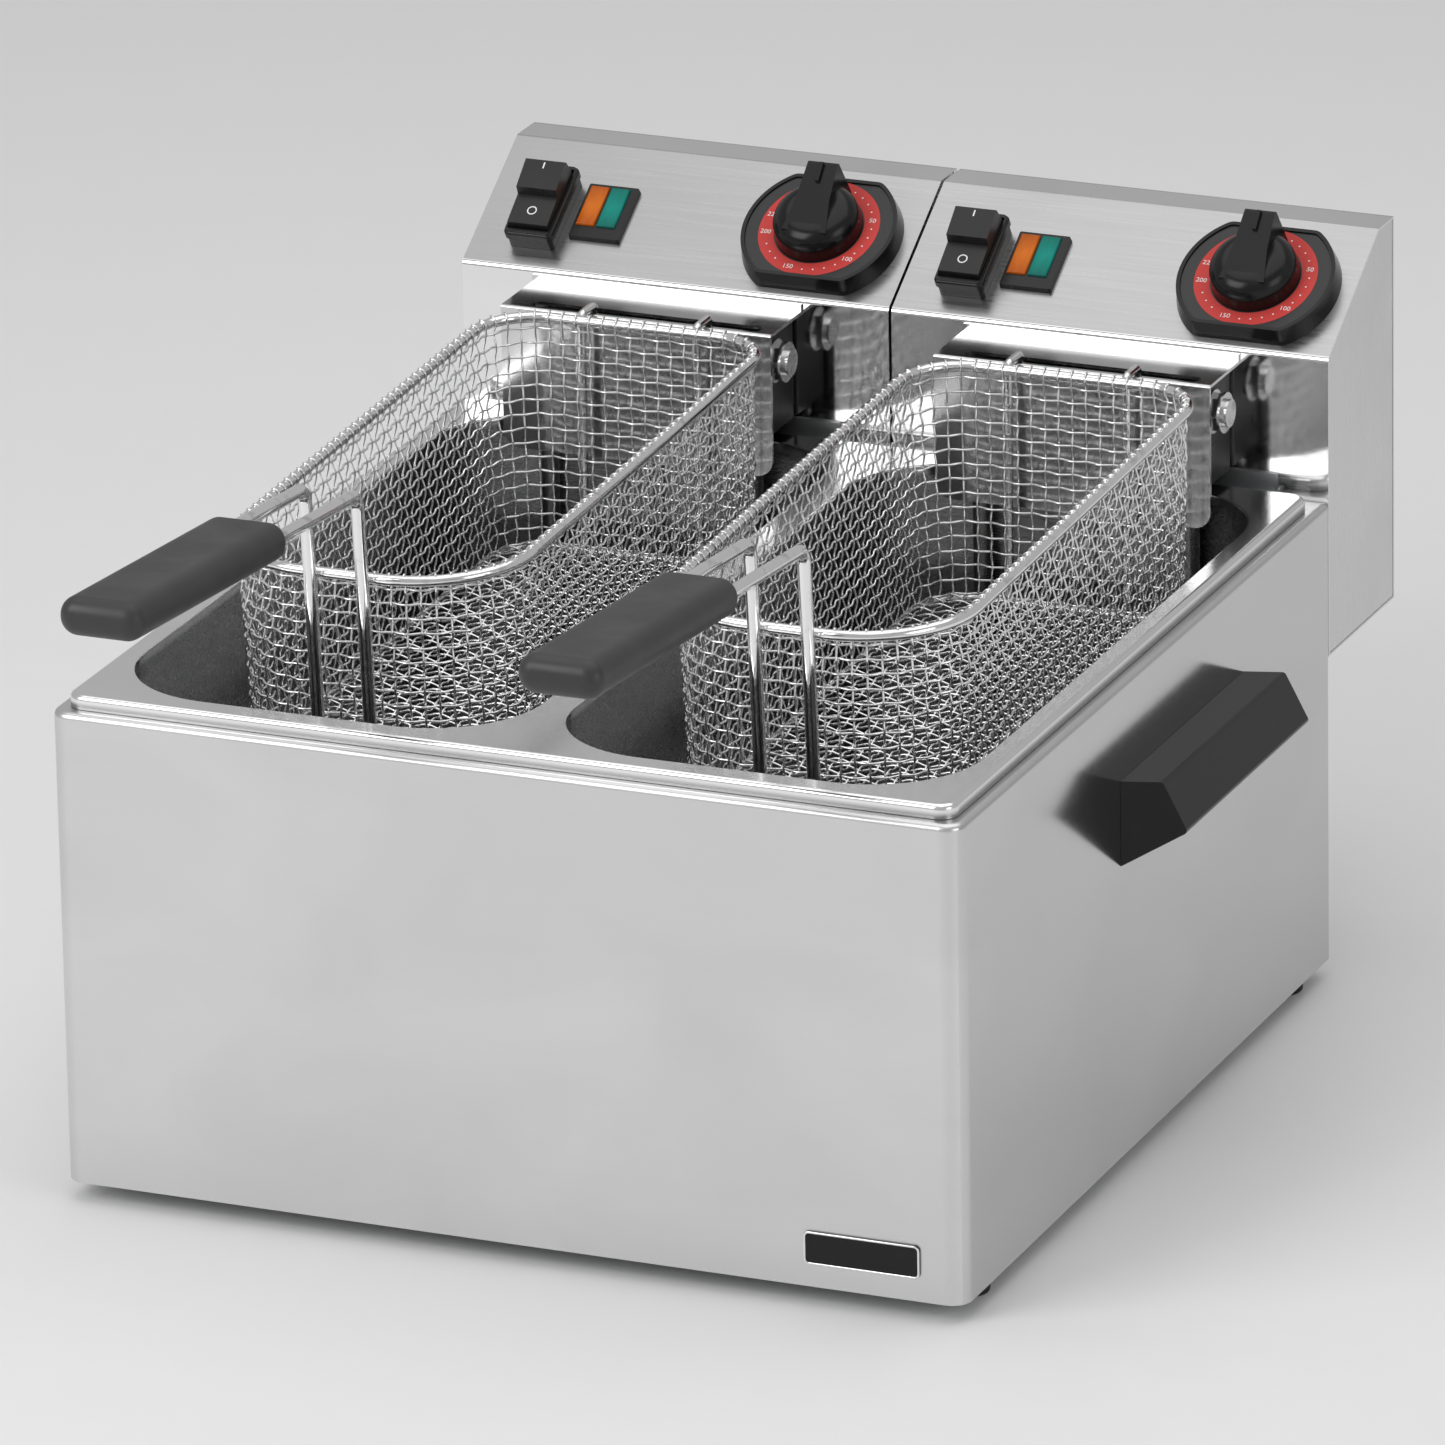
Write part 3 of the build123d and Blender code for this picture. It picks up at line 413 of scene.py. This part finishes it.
def outline(inset):
    """Corner centres, radii and straight lengths of the basket's plan, run anticlockwise from the rear left."""
    half = BASKET_W / 2 - inset
    y0, y1 = BASKET_Y0 + inset, BASKET_Y1 - inset
    f, r = FRONT_R - inset, REAR_R - inset
    return [
        ("line", (-half, y1 - r), (-half, y0 + f)),
        ("arc", (-half + f, y0 + f), f, math.pi, 1.5 * math.pi),
        ("line", (-half + f, y0), (half - f, y0)),
        ("arc", (half - f, y0 + f), f, 1.5 * math.pi, 2 * math.pi),
        ("line", (half, y0 + f), (half, y1 - r)),
        ("arc", (half - r, y1 - r), r, 0, math.pi / 2),
        ("line", (half - r, y1), (-half + r, y1)),
        ("arc", (-half + r, y1 - r), r, math.pi / 2, math.pi),
    ]


def walk(inset):
    """The plan's length, and a function from a distance along it to a point and its outward normal."""
    pieces, total = [], 0.0
    for piece in outline(inset):
        if piece[0] == "line":
            length = math.dist(piece[1], piece[2])
        else:
            length = piece[2] * (piece[4] - piece[3])
        pieces.append((total, length, piece))
        total += length

    def at(s):
        s %= total
        for start, length, piece in pieces:
            if s <= start + length + 1e-9:
                break
        t = (s - start) / length
        if piece[0] == "line":
            (ax, ay), (bx, by) = piece[1:]
            dx, dy = (bx - ax) / length, (by - ay) / length
            return (ax + (bx - ax) * t, ay + (by - ay) * t), (dy, -dx)
        (cx, cy), radius, a0, a1 = piece[1:]
        a = a0 + (a1 - a0) * t
        return (cx + radius * math.cos(a), cy + radius * math.sin(a)), (math.cos(a), math.sin(a))

    return total, at


def hang(x, y, z, side):
    """Leans a basket point nose-down and moves it to its side of the fryer."""
    dy, dz = y - BASKET_Y1, z - BASKET_RIM_Z
    c, s = math.cos(TILT), math.sin(TILT)
    return place(x + side * BASKET_X, BASKET_Y1 + dy * c - dz * s, BASKET_RIM_Z + dy * s + dz * c)


def wall_strands(strands, side):
    """The crimped uprights and rings of the basket's wall, over and under each other."""
    length, at = walk(CLOTH_INSET)
    uprights = 2 * round(length / PITCH / 2)
    spacing = length / uprights
    row_step = (BASKET_DEPTH - FIRST_RING_DROP - LAST_RING_RISE) / WALL_ROWS
    for i in range(uprights):
        (x, y), (nx, ny) = at(i * spacing)
        path = []
        for turn_deg in RIM_WRAP_DEG:
            a = math.radians(turn_deg)
            out = CLOTH_INSET - RIM_INSET + RIM_HUG * math.cos(a)
            path.append(hang(x + nx * out, y + ny * out, BASKET_RIM_Z + RIM_HUG * math.sin(a), side))
        for j in range(4 * WALL_ROWS + 1):
            d = FIRST_RING_DROP + j * row_step / 4
            off = CRIMP * math.cos(math.pi * (j / 4 + i)) - d * DRAFT
            path.append(hang(x + nx * off, y + ny * off, BASKET_RIM_Z - d, side))
        strands.add(path, WIRE_R * MM)
    for k in range(WALL_ROWS + 1):
        d = FIRST_RING_DROP + k * row_step
        path = []
        for q in range(4 * uprights):
            (x, y), (nx, ny) = at(q * spacing / 4)
            off = -CRIMP * math.cos(math.pi * (q / 4 + k)) - d * DRAFT
            path.append(hang(x + nx * off, y + ny * off, BASKET_RIM_Z - d, side))
        strands.add(path, WIRE_R * MM, closed=True)


def floor_span(across, inset, along_y):
    """Where a line across the basket's floor meets its outline."""
    half = BASKET_W / 2 - inset
    y0, y1 = BASKET_Y0 + inset, BASKET_Y1 - inset
    f, r = FRONT_R - inset, REAR_R - inset
    if along_y:
        dx_f, dx_r = max(0.0, abs(across) - (half - f)), max(0.0, abs(across) - (half - r))
        return y0 + f - math.sqrt(f * f - dx_f * dx_f), y1 - r + math.sqrt(r * r - dx_r * dx_r)
    reach = half
    if across < y0 + f:
        reach = half - f + math.sqrt(f * f - (y0 + f - across) ** 2)
    elif across > y1 - r:
        reach = half - r + math.sqrt(r * r - (across - y1 + r) ** 2)
    return -reach, reach


def floor_strands(strands, side):
    """The crimped wires of the basket's flat floor."""
    inset = CLOTH_INSET + BASKET_DEPTH * DRAFT
    z = BASKET_RIM_Z - BASKET_DEPTH + FLOOR_RISE
    y_mid = (BASKET_Y0 + BASKET_Y1) / 2
    for column in range(-FLOOR_COLUMNS, FLOOR_COLUMNS + 1):
        x = column * PITCH
        lo, hi = floor_span(x, inset, True)
        count = int((hi - lo) / (PITCH / 4))
        path = []
        for y in np.linspace(lo, hi, count):
            lift = CRIMP * math.cos(math.pi * ((y - y_mid) / PITCH + column))
            path.append(hang(x, y, z + lift, side))
        strands.add(path, WIRE_R * MM)
    for row in range(-FLOOR_ROWS, FLOOR_ROWS + 1):
        y = y_mid + row * PITCH
        lo, hi = floor_span(y, inset, False)
        count = int((hi - lo) / (PITCH / 4))
        path = []
        for x in np.linspace(lo, hi, count):
            lift = -CRIMP * math.cos(math.pi * (x / PITCH + row))
            path.append(hang(x, y, z + lift, side))
        strands.add(path, WIRE_R * MM)


for side, sign in (("left", -1), ("right", 1)):
    cloth = Strands()
    wall_strands(cloth, sign)
    floor_strands(cloth, sign)
    verts = np.concatenate(cloth.verts)
    woven = add_mesh(f"{side}_woven_basket", verts, cloth.faces, CLOTH, f"basket_{side}")
    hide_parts(f"{side}_basket_mesh")


# ---------------------------------------------------------------- marks on the panel


def panel(x, s, h, side):
    """A point on a head's sloping panel: x across, s up the slope, h out of it, all in millimetres."""
    y = HEAD_Y0 + s * math.cos(SLOPE) - h * math.sin(SLOPE)
    z = SLOPE_Z + s * math.sin(SLOPE) + h * math.cos(SLOPE)
    return place(side * HEAD_X + x, y, z)


def flat_ring(inner, outer, steps, centre, h, side, thick=0.10):
    """A thin ring lying on the panel."""
    verts, faces = [], []
    for k in range(steps):
        a = 2 * math.pi * k / steps
        c, s = math.cos(a), math.sin(a)
        for radius, lift in ((inner, 0), (inner, thick), (outer, thick), (outer, 0)):
            verts.append(panel(centre[0] + radius * s, centre[1] + radius * c, h + lift, side))
        for q in range(3):
            n = (k + 1) % steps
            faces.append((4 * k + q, 4 * k + q + 1, 4 * n + q + 1, 4 * n + q))
    return verts, faces


def text_mesh(word, height):
    """The outline of a short word, centred, as flat vertices and faces in millimetres."""
    curve = bpy.data.curves.new("word", "FONT")
    curve.body = word
    curve.size = height / 0.72
    curve.align_x = "CENTER"
    curve.resolution_u = 3
    temp = bpy.data.objects.new("word", curve)
    bpy.context.scene.collection.objects.link(temp)
    bpy.context.view_layer.update()
    mesh = bpy.data.meshes.new_from_object(temp.evaluated_get(bpy.context.evaluated_depsgraph_get()))
    verts = [(v.co.x, v.co.y - height / 2) for v in mesh.vertices]
    faces = [tuple(p.vertices) for p in mesh.polygons]
    bpy.data.objects.remove(temp)
    bpy.data.curves.remove(curve)
    bpy.data.meshes.remove(mesh)
    return verts, faces


for side, sign in (("left", -1), ("right", 1)):
    verts, faces = flat_ring(RING_INNER, RING_OUTER, 96, (DIAL_X, DIAL_S), FACE_H, sign)
    add_mesh(f"{side}_dial_ring", verts, faces, RED_INK, f"head_{side}", smooth=False)
    verts, faces = [], []
    for word, degrees in NUMBERS.items():
        a = math.radians(degrees)
        cx, cy = DIAL_X + MARKS_R * math.sin(a), DIAL_S + MARKS_R * math.cos(a)
        flat, sides = text_mesh(word, NUMBER_HEIGHT)
        faces += [tuple(k + len(verts) for k in f) for f in sides]
        verts += [panel(cx + x, cy + y, FACE_H + INK_H, sign) for x, y in flat]
    for degrees in DOTS_DEG:
        if min(abs(degrees - v) for v in NUMBERS.values()) < NUMBER_ROOM_DEG:
            continue
        a = math.radians(degrees)
        cx, cy = DIAL_X + MARKS_R * math.sin(a), DIAL_S + MARKS_R * math.cos(a)
        faces.append(tuple(range(len(verts), len(verts) + 8)))
        for k in range(8):
            b = k * math.pi / 4
            verts.append(panel(cx + DOT_R * math.cos(b), cy + DOT_R * math.sin(b), FACE_H + INK_H, sign))
    add_mesh(f"{side}_dial_marks", verts, faces, WHITE_INK, f"head_{side}", smooth=False)


# ---------------------------------------------------------------- marks on the rockers


def on_rocker(x, s, h, side):
    """A point on the leaning rocker: s and h are measured in the rocker's own section."""
    c, n = math.cos(REST), math.sin(REST)
    return panel(SWITCH_X + x, SWITCH_S + s * c - h * n, PIVOT_H + s * n + h * c, side)


for side, sign in (("left", -1), ("right", 1)):
    verts, faces = [], []
    for x, s in ((-0.35, 11.4), (0.35, 11.4), (0.35, 14.6), (-0.35, 14.6)):
        h = HIGH_PAD_H + (s - PAD_START) * HIGH_PAD_RISE / HIGH_PAD_LEN + PAD_INK
        verts.append(on_rocker(x, s, h, sign))
    faces.append((0, 1, 2, 3))
    base = len(verts)
    for k in range(32):
        a = 2 * math.pi * k / 32
        for radius in (1.75, 2.35):
            s = -8.9 + radius * math.cos(a)
            h = LOW_PAD_H + (-PAD_START - s) * LOW_PAD_RISE / LOW_PAD_LEN + PAD_INK
            verts.append(on_rocker(radius * math.sin(a), s, h, sign))
        n = (k + 1) % 32
        faces.append((base + 2 * k, base + 2 * k + 1, base + 2 * n + 1, base + 2 * n))
    add_mesh(f"{side}_rocker_marks", verts, faces, WHITE_INK, f"rocker_{side}", smooth=False)


# ---------------------------------------------------------------- badge edge


def rounded(w, h, r, steps=6):
    """Points of a rounded rectangle."""
    points = []
    x, z = w / 2 - r, h / 2 - r
    for cx, cz, a0 in ((x, z, 0), (-x, z, 90), (-x, -z, 180), (x, -z, 270)):
        for k in range(steps + 1):
            a = math.radians(a0 + 90 * k / steps)
            points.append((cx + r * math.cos(a), cz + r * math.sin(a)))
    return points


lo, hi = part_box("badge_plate")
mid_x, mid_z, front_y = (lo.x + hi.x) / 2, (lo.z + hi.z) / 2, lo.y
w, h = (hi.x - lo.x) / MM, (hi.z - lo.z) / MM
verts, faces = [], []
# The edge in section: how far in from the plate's edge, the corner's radius and the height off the plate
EDGE = ((0.0, 2.5, 0.0), (0.3, 2.35, 0.22), (1.5, 1.8, 0.22), (1.9, 1.6, -0.05))
for inset, radius, lift in EDGE:
    width, height = w - inset, h - inset
    for x, z in rounded(width, height, radius):
        verts.append((mid_x + x * MM, front_y - lift * MM, mid_z + z * MM))
ring = len(verts) // len(EDGE)
for k in range(len(EDGE) - 1):
    for q in range(ring):
        n = (q + 1) % ring
        faces.append((k * ring + q, k * ring + n, (k + 1) * ring + n, (k + 1) * ring + q))
add_mesh("badge_edge", verts, faces, SILVER, "housing")


# ---------------------------------------------------------------- studio

floor_mesh = bpy.data.meshes.new("studio_floor")
floor_mesh.from_pydata([(-6, -6, 0), (6, -6, 0), (6, 6, 0), (-6, 6, 0)], [], [(0, 1, 2, 3)])
floor = bpy.data.objects.new("studio_floor", floor_mesh)
bpy.context.scene.collection.objects.link(floor)
mat, tree, shader = new_material("studio_floor")
shader.inputs["Base Color"].default_value = (0.86, 0.86, 0.86, 1)
tree.links.new(remap(tree, noise(tree, 40), 0.55, 0.7), shader.inputs["Roughness"])
floor_mesh.materials.append(mat)

world = bpy.data.worlds.new("studio")
bpy.context.scene.world = world
world.use_nodes = True
world.node_tree.nodes["Background"].inputs[0].default_value = (1, 1, 1, 1)
world.node_tree.nodes["Background"].inputs[1].default_value = 0.46


def soft_light(name, at, target, size, power):
    """A square area light aimed at a point."""
    data = bpy.data.lights.new(name, "AREA")
    data.shape = "SQUARE"
    data.size = size
    data.energy = power
    lamp = bpy.data.objects.new(name, data)
    lamp.location = at
    lamp.rotation_euler = (Vector(target) - Vector(at)).to_track_quat("-Z", "Y").to_euler()
    bpy.context.scene.collection.objects.link(lamp)


soft_light("key", (-1.3, -2.0, 1.7), (0, 0, 0.15), 1.6, 29)
soft_light("top", (0.1, 0.2, 2.2), (0, 0, 0.1), 2.4, 17)
soft_light("fill", (2.4, -0.9, 0.9), (0, 0, 0.15), 1.2, 8)

AZ, EL, ROLL = math.radians(23.09), math.radians(19.90), math.radians(-1.06)
back = Vector((math.sin(AZ) * math.cos(EL), -math.cos(AZ) * math.cos(EL), math.sin(EL)))
right = Vector((math.cos(AZ), math.sin(AZ), 0))
up = back.cross(right)
cam_x = right * math.cos(ROLL) + up * math.sin(ROLL)
cam_y = up * math.cos(ROLL) - right * math.sin(ROLL)
data = bpy.data.cameras.new("camera")
data.sensor_width = 36
data.lens = 347.8
data.clip_end = 50
camera = bpy.data.objects.new("camera", data)
turn = Matrix((cam_x, cam_y, back)).transposed().to_4x4()
camera.matrix_world = Matrix.Translation(Vector((2259, -5055 + FRONT, 2248)) * MM) @ turn
bpy.context.scene.collection.objects.link(camera)
bpy.context.scene.camera = camera
bpy.context.scene.view_settings.view_transform = "Standard"
